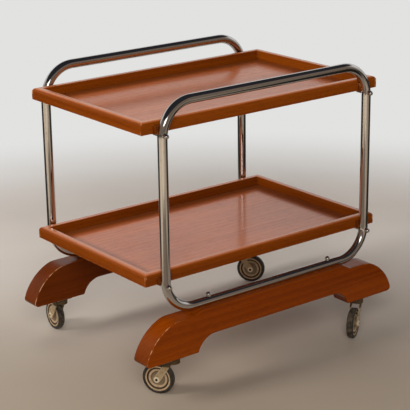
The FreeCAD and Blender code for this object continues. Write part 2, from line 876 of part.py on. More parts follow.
def make_runner_fasteners():
    bolt = dome_bolt()
    washer = bolt_washer()
    nut = hex_nut()
    for label, master, z in (
        ("runner_bolts", bolt, "bolt_top_z"),
        ("runner_washers", washer, "washer_z"),
        ("runner_nuts", nut, "hex_nut_z"),
    ):
        spots = [spot(sx + "bolt_half", sy + "tube_y", z) for _, sx in ENDS for _, sy in SIDES]
        keep_group(label, master, spots)


# Casters: each piece is drawn about its own swivel axis, with z = 0 on the underside of the foot

def caster_plate(label):
    body = new_body(label)
    sketch = new_sketch(body, "XY_Plane")
    draw_outline(sketch, [
        ("-plate_side_x", "-plate_half_y"),
        ("plate_side_x", "-plate_half_y", "plate_corner", "left"),
        ("plate_half_x", "-plate_side_y"),
        ("plate_half_x", "plate_side_y", "plate_corner", "left"),
        ("plate_side_x", "plate_half_y"),
        ("-plate_side_x", "plate_half_y", "plate_corner", "left"),
        ("-plate_half_x", "plate_side_y"),
        ("-plate_half_x", "-plate_side_y", "plate_corner", "left"),
    ])
    holes = [(x, y) for x in ("-screw_half_x", "screw_half_x") for y in ("-screw_half_y", "screw_half_y")]
    draw_circles(sketch, holes, "caster_screw_hole")
    draw_circles(sketch, [("0", "0")], "pin_radius")
    plate = extrude(body, "Pad", sketch, "plate_thickness", "One side")
    plate.Reversed = True
    return body


def king_pin(label):
    return turned(label, [
        ("0", "0"),
        ("pin_radius", "0"),
        ("pin_radius", "-pin_seat"),
        ("pin_head_radius", "-pin_seat"),
        ("pin_head_radius", "-pin_bevel_low"),
        ("pin_bevel_radius", "-pin_low"),
        ("0", "-pin_low"),
    ])


def caster_fork(label):
    # two arms that trail back to the axle, a crown across them and a cup round the balls
    body = new_body(label)
    pad_outline(body, "XZ_Plane", [
        ("-arm_back", "-crown_drop"),
        ("eye_back_x", "-eye_back_z"),
        ("eye_front_x", "-eye_front_z"),
        ("arm_front", "-crown_drop"),
    ], "fork_width")
    eye = new_sketch(body, "XZ_Plane")
    draw_circles(eye, [("caster_trail", "-axle_drop")], "eye_radius")
    extrude(body, "Pad", eye, "fork_width")
    cut_outline(body, "XZ_Plane", [
        ("-fork_cut_x", "-fork_cut_z"),
        ("fork_cut_x", "-fork_cut_z"),
        ("fork_cut_x", "-crown_floor"),
        ("-fork_cut_x", "-crown_floor"),
    ], "fork_gap")
    cup = new_sketch(body, "XZ_Plane")
    draw_outline(cup, [
        ("0", "-crown_floor"),
        ("cup_radius", "-crown_floor"),
        ("cup_radius", "-cup_top"),
        ("cup_inner_radius", "-cup_top"),
        ("cup_inner_radius", "-crown_drop"),
        ("0", "-crown_drop"),
    ])
    revolve(body, "Revolution", cup)
    track = new_sketch(body, "XZ_Plane")
    draw_circles(track, [("ball_circle_radius", "-ball_drop")], "ball_groove_radius")
    revolve(body, "Groove", track)
    cut_circles(body, "XY_Plane", [("0", "0")], "pin_hole_radius", "pin_cut")
    cut_circles(body, "XZ_Plane", [("caster_trail", "-axle_drop")], "axle_hole_radius", "fork_cross_cut")
    return body


def caster_axle(label):
    # a tubular rivet with a bevelled head at each end
    return turned(label, [
        ("axle_bore_radius", "-axle_end"),
        ("axle_bevel_radius", "-axle_end"),
        ("axle_head_radius", "-axle_bevel_end"),
        ("axle_head_radius", "-axle_seat"),
        ("axle_radius", "-axle_seat"),
        ("axle_radius", "axle_seat"),
        ("axle_head_radius", "axle_seat"),
        ("axle_head_radius", "axle_bevel_end"),
        ("axle_bevel_radius", "axle_end"),
        ("axle_bore_radius", "axle_end"),
    ])


def caster_disc(label):
    # a pressed disc wheel, stepped in rings, with a key groove round its rim for the tyre
    side = [
        ("bore_radius", "hub_half"),
        ("hub_radius", "hub_half"),
        ("hub_radius", "dish_half"),
        ("dish_radius", "dish_half"),
        ("step_inner_radius", "step_half"),
        ("step_outer_radius", "step_half"),
        ("channel_inner_radius", "channel_half"),
        ("channel_outer_radius", "channel_half"),
        ("flange_radius", "rim_half"),
        ("rim_radius", "rim_half"),
        ("rim_radius", "key_mouth_half"),
        ("key_radius", "key_half"),
    ]
    return turned(label, side + [(x, opposite(z)) for x, z in side[::-1]])


def caster_tyre(label):
    return turned(label, [
        ("rim_radius", "rim_half"),
        ("rim_radius", "key_mouth_half"),
        ("key_radius", "key_half"),
        ("key_radius", "-key_half"),
        ("rim_radius", "-key_mouth_half"),
        ("rim_radius", "-rim_half"),
        ("bead_radius", "-tyre_half"),
        ("tyre_shoulder", "-tyre_half", "tyre_round", "left"),
        ("tyre_radius", "-tread_half"),
        ("tyre_radius", "tread_half", "tyre_round", "left"),
        ("tyre_shoulder", "tyre_half"),
        ("bead_radius", "tyre_half"),
    ])


def make_balls(label, ball, swivel):
    spots = []
    for number in range(int(amount("ball_count"))):
        turn = Rotation(UP, FULL_TURN * number / amount("ball_count"))
        arm = Vector(amount("ball_circle_radius"), 0, -amount("ball_drop"))
        spots.append(swivel.multiply(Placement(turn.multVec(arm), turn)))
    keep_group(label, ball, spots)


def make_caster(name, sx, sy, ball):
    swivel = spot(sx + "caster_half", sy + "tube_y", "caster_height")
    yawed = swivel.multiply(Placement(Vector(), Rotation(UP, amount(name + "_yaw"))))
    hub = Vector(amount("caster_trail"), 0, -amount("axle_drop"))
    wheel = yawed.multiply(Placement(hub, Rotation(ACROSS, QUARTER_TURN)))
    for piece, make, where in (
        ("plate", caster_plate, swivel),
        ("king_pin", king_pin, swivel),
        ("fork", caster_fork, yawed),
        ("axle", caster_axle, wheel),
        ("wheel_disc", caster_disc, wheel),
        ("tyre", caster_tyre, wheel),
    ):
        label = "%s_caster_%s" % (name, piece)
        keep(label, make(label)).Placement = where
    make_balls(name + "_caster_balls", ball, swivel)


def make_casters():
    ball = doc.addObject("Part::Sphere", "swivel_ball")
    ball.setExpression("Radius", "Sizes.ball_radius")
    screws = []
    for side, sy in SIDES:
        for end, sx in ENDS:
            make_caster(side + "_" + end, sx, sy, ball)
            for x in ("screw_in_x", "screw_out_x"):
                for shift in ("screw_half_y", "-screw_half_y"):
                    where = spot(sx + x, sy + "tube_y", "screw_z")
                    where.Base.y += amount(shift)
                    screws.append(where)
    keep_group("caster_screws", pan_screw("caster_screw"), screws)


def check_document():
    doc.recompute()
    for item in doc.Objects:
        if "Invalid" in item.State or "Error" in item.State:
            raise RuntimeError("%s failed: %s" % (item.Label, item.State))
    for label, item in nodes.items():
        if item.Shape.isNull() or not item.Shape.isValid() or not item.Shape.Solids:
            raise RuntimeError("%s has no valid solid" % label)


def write_steps():
    os.makedirs("parts", exist_ok=True)
    for label, item in nodes.items():
        item.Shape.exportStep(os.path.join("parts", label + ".step"))
        print("%s: %d solid(s), %.0f mm3" % (label, len(item.Shape.Solids), item.Shape.Volume))
    print("%d nodes" % len(nodes))


def main():
    for tier in ("lower", "upper"):
        make_tray(tier)
        make_rods(tier)
    make_post_saddles()
    make_tray_fasteners()
    for side, sign in SIDES:
        make_loop(side, sign)
        make_runner(side, sign)
    make_runner_fasteners()
    make_casters()
    check_document()
    write_steps()


main()
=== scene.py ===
import json
import math

import bpy
from bpy.props import FloatProperty, FloatVectorProperty, PointerProperty
from mathutils import Matrix, Vector


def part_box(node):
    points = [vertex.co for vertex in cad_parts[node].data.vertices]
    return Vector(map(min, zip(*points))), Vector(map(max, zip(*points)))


bl_info = {
    "name": "Tea trolley finishes",
    "version": (1, 0, 0),
    "blender": (4, 5, 0),
    "location": "3D View > Sidebar > Tea trolley",
    "description": "Gives a tea trolley its wood, chrome, brass and rubber and stands it in a plain studio",
    "category": "Object",
}

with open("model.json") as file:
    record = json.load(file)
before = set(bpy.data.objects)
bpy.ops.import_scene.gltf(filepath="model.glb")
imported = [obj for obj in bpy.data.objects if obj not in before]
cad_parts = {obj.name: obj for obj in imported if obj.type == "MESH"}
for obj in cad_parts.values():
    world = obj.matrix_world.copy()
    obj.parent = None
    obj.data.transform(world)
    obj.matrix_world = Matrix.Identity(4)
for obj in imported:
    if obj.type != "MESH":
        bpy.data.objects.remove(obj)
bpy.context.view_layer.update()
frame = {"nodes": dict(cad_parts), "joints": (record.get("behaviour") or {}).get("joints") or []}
NODES = frame["nodes"]
JOINTS = {joint["name"]: joint for joint in frame["joints"]}
TIERS = ("lower", "upper")
SIDES = ("near", "far")
ENDS = ("left", "right")
CORNERS = [side + "_" + end for side in SIDES for end in ENDS]
# half the length and half the width of a tray inside its rim
TRAY_INSIDE = (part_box("upper_tray_right_rail")[0][0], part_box("upper_tray_far_rail")[0][1])
# half the length and half the width of a tray over its rim
TRAY_OUTSIDE = (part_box("upper_tray_right_rail")[1][0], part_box("upper_tray_far_rail")[1][1])
# directions along the trolley, across it and up
ALONG = (1.0, 0.0, 0.0)
ACROSS = (0.0, 1.0, 0.0)
UP = (0.0, 0.0, 1.0)


# Properties

def colour(name, description, default):
    return FloatVectorProperty(
        name=name, description=description, default=default, size=3, subtype="COLOR", min=0.0, max=1.0)


def length(name, description, default):
    return FloatProperty(name=name, description=description, default=default, unit="LENGTH", min=0.0)


def share(name, description, default):
    return FloatProperty(
        name=name, description=description, default=default, subtype="FACTOR", min=0.0, max=1.0)


def rings(name, description, default):
    return FloatProperty(name=name, description=description, default=default, min=0.0)


def power(name, description, default):
    return FloatProperty(name=name, description=description, default=default, unit="POWER", min=0.0)


def angle(name, description, degrees):
    return FloatProperty(
        name=name, description=description, default=math.radians(degrees), subtype="ANGLE", unit="ROTATION")


class RailLook(bpy.types.PropertyGroup):
    """Solid wood of the tray rims"""
    light: colour("Light wood", "Colour of the wood between the growth lines", (0.262, 0.056, 0.0028))
    dark: colour("Dark wood", "Colour of the growth lines", (0.156, 0.0276, 0.0014))
    pore: colour("Pore", "Colour of the open pores", (0.045, 0.010, 0.003))
    ring: length("Growth ring", "Distance between growth lines", 0.0075)
    fibre: length("Fibre", "Width of a streak of fibre", 0.0009)
    wander: rings("Wander", "How many growth rings the grain strays by", 2.5)
    end_stain: share("End grain stain", "How much darker the end grain is", 0.30)
    worn: colour("Worn edge", "Colour of the wood where the lacquer is rubbed off", (0.58, 0.31, 0.14))
    wear: share("Edge wear", "How much of the arrises is rubbed", 0.5)
    # painted shade: how much darker the saddles behind the posts are drawn
    painted_shade: share("Stain of the saddles", "How much darker the saddles behind the posts are", 0.55)
    # painted highlight: the paler colour given to the faces of the rims that look up, and how much of it they
    # take
    painted_top_highlight: colour("Faded top", "Colour of the wood on the rubbed tops of the rims", (0.60, 0.19, 0.07))
    top_highlight_strength: share("Fading", "How much of that colour the tops have", 0.80)


class PanelLook(bpy.types.PropertyGroup):
    """Veneer of the tray panels"""
    light: colour("Light veneer", "Colour of the veneer between the growth lines", (0.560, 0.130, 0.020))
    dark: colour("Dark veneer", "Colour of the growth lines", (0.365, 0.074, 0.011))
    pore: colour("Pore", "Colour of the open pores", (0.050, 0.013, 0.005))
    ring: length("Growth ring", "Distance between growth lines", 0.016)
    fibre: length("Fibre", "Width of a streak of fibre", 0.0013)
    wander: rings("Wander", "How many growth rings the grain strays by", 1.6)
    end_stain: share("End grain stain", "How much darker the end grain is", 0.30)
    # painted shade and painted reflection of the rim, along the edge of the veneer
    border: share("Dark border", "How much darker the veneer is along the rim", 0.72)


class RunnerLook(bpy.types.PropertyGroup):
    """Solid wood of the runners"""
    light: colour("Light wood", "Colour of the wood between the growth lines", (0.285, 0.052, 0.001))
    dark: colour("Dark wood", "Colour of the growth lines", (0.160, 0.024, 0.0005))
    pore: colour("Pore", "Colour of the open pores", (0.040, 0.009, 0.002))
    ring: length("Growth ring", "Distance between growth lines", 0.011)
    fibre: length("Fibre", "Width of a streak of fibre", 0.0010)
    wander: rings("Wander", "How many growth rings the grain strays by", 3.0)
    end_stain: share("End grain stain", "How much darker the end grain is", 0.42)
    # on the runners this paler colour is also a painted highlight along the arrises of the feet
    worn: colour("Worn edge", "Colour of the wood where the lacquer is rubbed off", (0.62, 0.36, 0.18))
    wear: share("Edge wear", "How much of the arrises is rubbed", 0.6)
    # painted shade: how much darker the far runner is drawn than the near one
    painted_shade: share("Stain of the far runner", "How much darker the far runner is", 0.55)


class MetalLook(bpy.types.PropertyGroup):
    """Chromed, plated and brassed metal"""
    chrome: colour("Chrome", "Colour of the chromed tube", (0.62, 0.62, 0.62))
    pit: colour("Pitting", "Colour of the specks in old chrome", (0.16, 0.12, 0.09))
    plated: colour("Plated steel", "Colour of the dull plated steel", (0.42, 0.41, 0.38))
    brass: colour("Brassed steel", "Colour of the caster forks and plates", (0.50, 0.38, 0.22))
    # this paler colour is also a painted highlight on the edges of the forks
    bright: colour("Rubbed brass", "Colour of the brassed edges that are rubbed bright", (0.88, 0.75, 0.54))
    disc: colour("Wheel disc", "Colour of the pressed wheel discs", (0.66, 0.48, 0.30))
    # this colour also paints the shade round the middle of each rivet and darkens the tops of the forks
    stain: colour("Stain", "Colour of old grease and rust on the casters", (0.055, 0.032, 0.012))


class TyreLook(bpy.types.PropertyGroup):
    """Rubber of the tyres"""
    rubber: colour("Rubber", "Colour of clean rubber", (0.011, 0.010, 0.008))
    dust: colour("Dust", "Colour of the floor dust on the rubber", (0.12, 0.09, 0.06))


class StageLook(bpy.types.PropertyGroup):
    """Floor, light and camera"""
    floor: colour("Floor", "Colour of the plain floor", (0.405, 0.330, 0.250))
    back: colour("Back of the floor", "Colour of the plain floor behind the trolley", (0.840, 0.765, 0.690))
    front: colour("Front floor", "Colour of the dim floor in front, mirrored in the metal",
                  (0.19, 0.14, 0.098))
    apron: colour("Apron", "Colour of the pale floor left and right of the front, mirrored in the metal",
                  (0.66, 0.53, 0.39))
    flag: colour("Flags", "Colour of the dark cloths at both sides, mirrored in the metal",
                 (0.022, 0.018, 0.013))
    sweep: colour("Sweep", "Colour that the floor fades to far from the trolley", (0.76, 0.76, 0.75))
    wall: colour("Back wall", "Light of the pale wall behind the trolley", (0.79, 0.76, 0.73))
    low_wall: colour("Low wall", "Light of the foot of the back wall", (0.58, 0.555, 0.53))
    room: colour("Room", "Light of the dim room in front of the trolley", (0.20, 0.15, 0.115))
    ceiling: colour("Ceiling", "Light of the dark studio ceiling", (0.025, 0.024, 0.028))
    window_light: FloatProperty(
        name="Window", description="How much brighter than the wall the window in front of the trolley is",
        default=5.0, min=0.0)
    key_power: power("Key light", "Power of the large lamp at the left end", 66.0)
    top_power: power("Top light", "Power of the lamp overhead", 28.0)
    fill_power: power("Fill light", "Power of the soft lamp in front of the near side", 60.0)
    camera_place: FloatVectorProperty(
        name="Camera place", description="Where the camera stands", default=(-2.0045, -2.5784, 1.3904),
        size=3, subtype="TRANSLATION", unit="LENGTH")
    camera_yaw: angle("Camera yaw", "Turn of the camera from the Y axis", -37.76)
    camera_pitch: angle("Camera pitch", "How far the camera looks down", 17.93)
    camera_roll: angle("Camera roll", "Turn of the camera about its line of sight", 0.80)
    focal_pixels: FloatProperty(
        name="Focal length in pixels", description="Focal length, in pixels of the square picture",
        default=1411.9, min=1.0)


class TrolleyLook(bpy.types.PropertyGroup):
    """Everything that can be changed about the trolley's looks"""
    rail: PointerProperty(type=RailLook)
    panel: PointerProperty(type=PanelLook)
    runner: PointerProperty(type=RunnerLook)
    metal: PointerProperty(type=MetalLook)
    tyre: PointerProperty(type=TyreLook)
    stage: PointerProperty(type=StageLook)


def look():
    """The looks that are set in this scene."""
    return bpy.context.scene.trolley_look


# Shader bench

class Bench:
    """Adds nodes to one node tree; a value given for a socket may be a number, a colour or another socket."""

    def __init__(self, tree):
        self.tree = tree

    def feed(self, socket, value):
        if isinstance(value, bpy.types.NodeSocket):
            self.tree.links.new(value, socket)
        elif socket.type == "RGBA" and len(value) == 3:
            socket.default_value = (*value, 1.0)
        else:
            socket.default_value = value

    def add(self, kind, sockets=None, **settings):
        node = self.tree.nodes.new(kind)
        for name, value in settings.items():
            setattr(node, name, value)
        for name, value in (sockets or {}).items():
            self.feed(node.inputs[name], value)
        return node

    def math(self, operation, first, second=0.0, clamp=False):
        node = self.add("ShaderNodeMath", {0: first, 1: second}, operation=operation, use_clamp=clamp)
        return node.outputs[0]

    def vector(self, operation, first, second=(0.0, 0.0, 0.0)):
        node = self.add("ShaderNodeVectorMath", {0: first, 1: second}, operation=operation)
        return node.outputs["Value" if operation in ("DOT_PRODUCT", "LENGTH") else "Vector"]

    def scaled(self, vector, factor):
        node = self.add("ShaderNodeVectorMath", {0: vector, "Scale": factor}, operation="SCALE")
        return node.outputs["Vector"]

    def noise(self, vector, scale=1.0, detail=2.0, distortion=0.0):
        sockets = {"Vector": vector, "Scale": scale, "Detail": detail, "Distortion": distortion}
        return self.add("ShaderNodeTexNoise", sockets).outputs["Fac"]

    def ramp(self, value, low, high, to_low=0.0, to_high=1.0):
        sockets = {"Value": value, "From Min": low, "From Max": high, "To Min": to_low, "To Max": to_high}
        node = self.add("ShaderNodeMapRange", sockets, interpolation_type="SMOOTHSTEP")
        return node.outputs["Result"]

    def mix(self, factor, first, second):
        node = self.add("ShaderNodeMix", {0: factor, 6: first, 7: second}, data_type="RGBA")
        return node.outputs[2]

    def group(self, name, sockets):
        node = self.add("ShaderNodeGroup", node_tree=bpy.data.node_groups[name])
        for label, value in sockets.items():
            self.feed(node.inputs[label], value)
        return node.outputs

    def bump(self, height, strength, distance):
        sockets = {"Height": height, "Strength": strength, "Distance": distance}
        return self.add("ShaderNodeBump", sockets).outputs["Normal"]

    def place(self):
        return self.add("ShaderNodeTexCoord").outputs["Object"]

    def normal(self):
        return self.add("ShaderNodeNewGeometry").outputs["Normal"]

    def part(self, vector, axis):
        return self.add("ShaderNodeSeparateXYZ", {0: vector}).outputs[axis]


def new_group(name, inputs, outputs):
    """An empty shader group, its bench and the sockets that come in."""
    tree = bpy.data.node_groups.new(name, "ShaderNodeTree")
    for label, kind in inputs:
        tree.interface.new_socket(label, in_out="INPUT", socket_type="NodeSocket" + kind)
    for label, kind in outputs:
        tree.interface.new_socket(label, in_out="OUTPUT", socket_type="NodeSocket" + kind)
    bench = Bench(tree)
    return bench, bench.add("NodeGroupInput").outputs


def close_group(bench, sockets):
    """The end of a shader group, with the sockets that go out."""
    bench.add("NodeGroupOutput", sockets)


# Shader groups

# factors that draw out the figure, the fibres and the rubbing of hands along X
FIGURE_STRETCH = (0.035, 1.0, 1.0)
FIBRE_STRETCH = (0.008, 1.0, 1.0)
RUB_STRETCH = (30.0, 420.0, 420.0)
# direction across the growth lines
ACROSS_RINGS = (0.0, 0.83, 0.56)
# parts of a growth ring over which its dark late wood sets in and breaks off
LATE_WOOD_START = (0.25, 0.92)
LATE_WOOD_END = (1.0, 0.93)
# values of a noise between which broad shades, streaks of fibre, pores and finger marks set in
BROAD_RANGE = (0.3, 0.72)
FIBRE_RANGE = (0.3, 0.7)
PORE_RANGE = (0.62, 0.72)
SMEAR_RANGE = (0.42, 0.72)
# how much of the dark colour late wood, broad shades and fibres give, and how much of its own a pore gives
LATE_WOOD_SHADE = 0.26
BROAD_SHADE = (0.0, 0.5)
FIBRE_SHADE = (-0.10, 0.24)
PORE_SHADE = 0.40
# what fibres, pores, finger marks and rubbing add to the roughness
FIBRE_ROUGHNESS = (0.0, 0.07)
PORE_ROUGHNESS = 0.10
SMEAR_ROUGHNESS = 0.05
RUB_ROUGHNESS = 0.02
# height of a fibre, where a pore is 1 deep
FIBRE_HEIGHT = 0.35
# rays by which an arris is found, and how alike the normals on it are where it is blunt and sharp
ARRIS_SAMPLES = 6
ARRIS_TURN = (0.985, 0.86)
# noise over which wear and grime show, with the softness of that limit, and how far a full amount lowers it
WEAR_LIMIT, WEAR_EDGE = 0.78, (-0.05, 0.08)
GRIME_LIMIT, GRIME_EDGE = 0.74, (-0.08, 0.10)
AMOUNT_LOWERS = 0.5
# parts that clouds and specks have in grime
CLOUD_PART, SPECK_PART = 0.7, 0.3


def patches(bench, noise, amount, limit, edge):
    """Mask of the places where a noise is over its limit, which a greater amount lowers."""
    limit = bench.math("SUBTRACT", limit, bench.math("MULTIPLY", amount, AMOUNT_LOWERS))
    return bench.ramp(bench.math("SUBTRACT", noise, limit), *edge)


def make_timber_group():
    """Straight-grained wood: growth lines, fibre streaks and open pores, all running along X."""
    bench, given = new_group(
        "timber_grain",
        [("Vector", "Vector"), ("Light", "Color"), ("Dark", "Color"), ("Pore", "Color"),
         ("Ring", "Float"), ("Fibre", "Float"), ("Wander", "Float")],
        [("Color", "Color"), ("Roughness", "Float"), ("Height", "Float")])
    per_ring = bench.math("DIVIDE", 1.0, given["Ring"])
    per_fibre = bench.math("DIVIDE", 1.0, given["Fibre"])
    long_figure = bench.scaled(bench.vector("MULTIPLY", given["Vector"], FIGURE_STRETCH), per_ring)
    wander = bench.noise(long_figure, scale=0.35, distortion=0.3)
    across = bench.vector("DOT_PRODUCT", long_figure, ACROSS_RINGS)
    ring = bench.math("FRACT", bench.math("ADD", across, bench.math("MULTIPLY", wander, given["Wander"])))
    late_wood = bench.math("MULTIPLY", bench.ramp(ring, *LATE_WOOD_START), bench.ramp(ring, *LATE_WOOD_END))
    broad = bench.noise(long_figure, scale=0.22, detail=1.0)
    long_fibre = bench.scaled(bench.vector("MULTIPLY", given["Vector"], FIBRE_STRETCH), per_fibre)
    fibre = bench.noise(long_fibre, detail=3.0)
    short_pore = bench.scaled(bench.vector("MULTIPLY", given["Vector"], FIGURE_STRETCH), per_fibre)
    pores = bench.ramp(bench.noise(short_pore, scale=1.7, detail=0.0), *PORE_RANGE)
    shade = bench.math("MULTIPLY", late_wood, LATE_WOOD_SHADE)
    shade = bench.math("ADD", shade, bench.ramp(broad, *BROAD_RANGE, *BROAD_SHADE))
    shade = bench.math("ADD", shade, bench.ramp(fibre, *FIBRE_RANGE, *FIBRE_SHADE), clamp=True)
    wood = bench.mix(shade, given["Light"], given["Dark"])
    wood = bench.mix(bench.math("MULTIPLY", pores, PORE_SHADE), wood, given["Pore"])
    rough = bench.ramp(fibre, *FIBRE_RANGE, *FIBRE_ROUGHNESS)
    rough = bench.math("ADD", rough, bench.math("MULTIPLY", pores, PORE_ROUGHNESS))
    height = bench.math("SUBTRACT", bench.math("MULTIPLY", fibre, FIBRE_HEIGHT), pores)
    close_group(bench, {"Color": wood, "Roughness": rough, "Height": height})


def make_wear_and_highlight_group():
    """Mask of rubbed arrises, broken up by patches, which on the runners and forks also serves as a painted
    highlight; Edge is a mask of more places that are rubbed.
    """
    bench, given = new_group(
        "edge_wear_and_highlight", [("Vector", "Vector"), ("Radius", "Float"), ("Amount", "Float"), ("Edge", "Float")],
        [("Mask", "Float")])
    bevel = bench.add("ShaderNodeBevel", {"Radius": given["Radius"]}, samples=ARRIS_SAMPLES)
    alike = bench.vector("DOT_PRODUCT", bevel.outputs["Normal"], bench.normal())
    edge = bench.math("MAXIMUM", bench.ramp(alike, *ARRIS_TURN), given["Edge"])
    cloud = bench.noise(given["Vector"], scale=55.0, detail=4.0)
    broken = patches(bench, cloud, given["Amount"], WEAR_LIMIT, WEAR_EDGE)
    close_group(bench, {"Mask": bench.math("MULTIPLY", edge, broken, clamp=True)})


def make_grime_group():
    """Mask of old dirt in patches of a given size."""
    bench, given = new_group(
        "grime", [("Vector", "Vector"), ("Patch", "Float"), ("Amount", "Float")], [("Mask", "Float")])
    scaled = bench.scaled(given["Vector"], bench.math("DIVIDE", 1.0, given["Patch"]))
    cloud = bench.math("MULTIPLY", bench.noise(scaled, detail=5.0, distortion=0.4), CLOUD_PART)
    speck = bench.math("MULTIPLY", bench.noise(scaled, scale=4.3), SPECK_PART)
    both = bench.math("ADD", cloud, speck)
    close_group(bench, {"Mask": patches(bench, both, given["Amount"], GRIME_LIMIT, GRIME_EDGE)})


def make_marks_group():
    """Finger marks and fine rubbing on a polished face, as a change of roughness."""
    bench, given = new_group("hand_marks", [("Vector", "Vector")], [("Roughness", "Float")])
    smear = bench.noise(given["Vector"], scale=14.0, detail=3.0, distortion=1.2)
    smear = bench.math("MULTIPLY", bench.ramp(smear, *SMEAR_RANGE), SMEAR_ROUGHNESS)
    rub = bench.noise(bench.vector("MULTIPLY", given["Vector"], RUB_STRETCH))
    rub = bench.math("MULTIPLY", rub, RUB_ROUGHNESS)
    close_group(bench, {"Roughness": bench.math("ADD", smear, rub)})


def make_radius_group():
    """Distance from a wheel's axle."""
    bench, given = new_group(
        "wheel_radius", [("Vector", "Vector"), ("Hub", "Vector"), ("Axle", "Vector")],
        [("Radius", "Float")])
    arm = bench.vector("SUBTRACT", given["Vector"], given["Hub"])
    along = bench.scaled(given["Axle"], bench.vector("DOT_PRODUCT", arm, given["Axle"]))
    close_group(bench, {"Radius": bench.vector("LENGTH", bench.vector("SUBTRACT", arm, along))})


def make_groups():
    """All the shader groups, once."""
    for make in (make_timber_group, make_wear_and_highlight_group, make_grime_group, make_marks_group, make_radius_group):
        make()


# Materials

# thin worn lacquer of the runners and saddles, and the thicker lacquer of the panels
THIN_LACQUER = {"Specular IOR Level": 0.03, "Coat Weight": 0.70, "Coat IOR": 1.2, "Coat Roughness": 0.18}
PANEL_LACQUER = {"Specular IOR Level": 0.30, "Coat Weight": 0.70, "Coat Roughness": 0.14}
# lacquer of the rims, with the weight of its coat on their sides and on their polished tops
RIM_LACQUER = {"Specular IOR Level": 0.03, "Coat Roughness": 0.18}
RIM_COAT = (0.12, 1.0)
# how far a face of a rim looks up where its polish and its painted highlight set in
POLISH_AND_HIGHLIGHT_FROM = (0.62, 1.0)
# how far a face looks along the grain where its end grain sets in
END_GRAIN = (0.45, 0.95)
# how far a face of a runner looks across it where its arris sets in and ends
ARRIS_START = (0.30, 0.55)
ARRIS_END = (0.95, 0.80)
# distances from the middle of a runner between which the wear and painted highlight of its feet set in
FOOT_WEAR_AND_HIGHLIGHT = (0.265, 0.315)
# widths of a rubbed arris, of the painted shade line and the wider painted shade border along a panel, and of
# the chips of a rim
ARRIS_WIDTH = 0.002
SHADE_LINE_WIDTH = 0.0045
SHADE_BORDER_WIDTH = 0.055
CHIP_WIDTH = 0.006
# part of the width of such a line over which it has its full strength
LINE_CORE = 1.0 / 3.0
# noise between which the painted shade line along a panel changes, and how dark that painted shade is there
SHADE_LINE_RANGE = (0.3, 0.6)
SHADE_LINE_STRENGTH = (0.5, 0.9)
# how much of the bare wood shows where lacquer is rubbed off, which on the feet of the runners is also a
# painted highlight, and what marks add to the roughness of wood
WEAR_AND_HIGHLIGHT_STRENGTH = 0.75
MARK_ROUGHNESS = 0.15
# roughness of clean finishes, to which grain and marks of use add
WOOD_ROUGHNESS = 0.22
VENEER_ROUGHNESS = 0.30
CHROME_ROUGHNESS = 0.035
FIXING_ROUGHNESS = 0.28
PIN_ROUGHNESS = 0.26
# depth of fine relief
FINE_RELIEF = 0.0002
DISC_RELIEF = 0.0003
# size of the patches of dirt on each metal and on the tyres, and how much of it there is
CHROME_PITS = {"Patch": 0.006, "Amount": 0.16}
FIXING_STAIN = {"Patch": 0.012, "Amount": 0.25}
PIN_STAIN = {"Patch": 0.008, "Amount": 0.35}
FORK_STAIN = {"Patch": 0.009, "Amount": 0.30}
RIVET_STAIN = {"Patch": 0.006, "Amount": 0.22}
DISC_STAIN = {"Patch": 0.007, "Amount": 0.42}
TYRE_DUST = {"Patch": 0.009, "Amount": 0.5}
# how much of its colour such dirt gives at the most, in the dish of a disc and on its rings too
PIT_SHADE = 0.6
PLATED_SHADE = 0.8
FORK_SHADE = 0.7
RIVET_SHADE = 0.5
DISH_SHADE = (0.0, 0.72)
RING_SHADE = (0.08, 0.45)
# what pits add to the roughness of chrome, and tarnish and stains to that of plated steel
PIT_ROUGHNESS = 0.25
TARNISH_ROUGHNESS = (0.0, 0.14)
STAIN_ROUGHNESS = 0.2
# noise between which plated steel tarnishes and roughens, and how much of its colour it keeps
TARNISH_RANGE = (0.35, 0.7)
TARNISH_ROUGHENS = (0.3, 0.7)
TARNISH_KEEPS = 0.72
# stain between which plated steel looks less metallic, and how metallic it is without and with it
PLATED_DULLS = (0.2, 0.9)
PLATED_METALLIC = (0.95, 0.25)
# darkening by dirt and painted shade between which brassed metal roughens and looks less metallic
DARKER_ROUGHENS = (0.0, 0.9)
DARKER_DULLS = (0.1, 0.8)
# how rough and how metallic brassed metal is where it is clean and where it is darkened
FORK_ROUGHNESS, FORK_METALLIC = (0.30, 0.55), (0.55, 0.10)
RIVET_ROUGHNESS, RIVET_METALLIC = (0.28, 0.60), (0.55, 0.0)
DISC_ROUGHNESS, DISC_METALLIC = (0.34, 0.62), (0.40, 0.10)
FORK_SPECULAR = 0.2
# how much of the edges of a fork is rubbed bright and given a painted highlight
FORK_WEAR_AND_HIGHLIGHT = 0.95
# heights above the floor between which a fork grows darker towards its swivel, and how much of its colour
# that hides
SWIVEL_DARKENING = (0.068, 0.073)
TOP_DARKENING = (0.0, 0.95)
# distances from an axle between which the painted shade ring of its rivet and the rings of its disc and tyre
# set in
RIVET_PAINTED_SHADE_INSIDE = (0.0008, 0.0015)
RIVET_PAINTED_SHADE_OUTSIDE = (0.0036, 0.0030)
DISC_DISH = (0.0182, 0.0166)
DISC_CHANNEL_INSIDE = (0.0220, 0.0232)
DISC_CHANNEL_OUTSIDE = (0.0274, 0.0262)
TYRE_BEAD = (0.0322, 0.0306)
TYRE_TREAD = (0.0362, 0.0374)
# dust on the tread, the bead and the wall of a tyre
TREAD_DUST = (0.0, 0.55)
BEAD_DUST = (0.0, 0.5)
WALL_DUST = 0.22
# dust between which rubber roughens, and its roughness
DUST_ROUGHENS = (0.0, 0.6)
RUBBER_ROUGHNESS = (0.46, 0.85)


def new_material(name):
    """A bench for a new material, with its surface shader."""
    material = bpy.data.materials.new(name)
    material.use_nodes = True
    tree = material.node_tree
    return material, Bench(tree), tree.nodes["Principled BSDF"]


def dress(material, names):
    """Gives CAD pieces their finish."""
    for name in names:
        mesh = NODES[name].data
        mesh.materials.clear()
        mesh.materials.append(material)


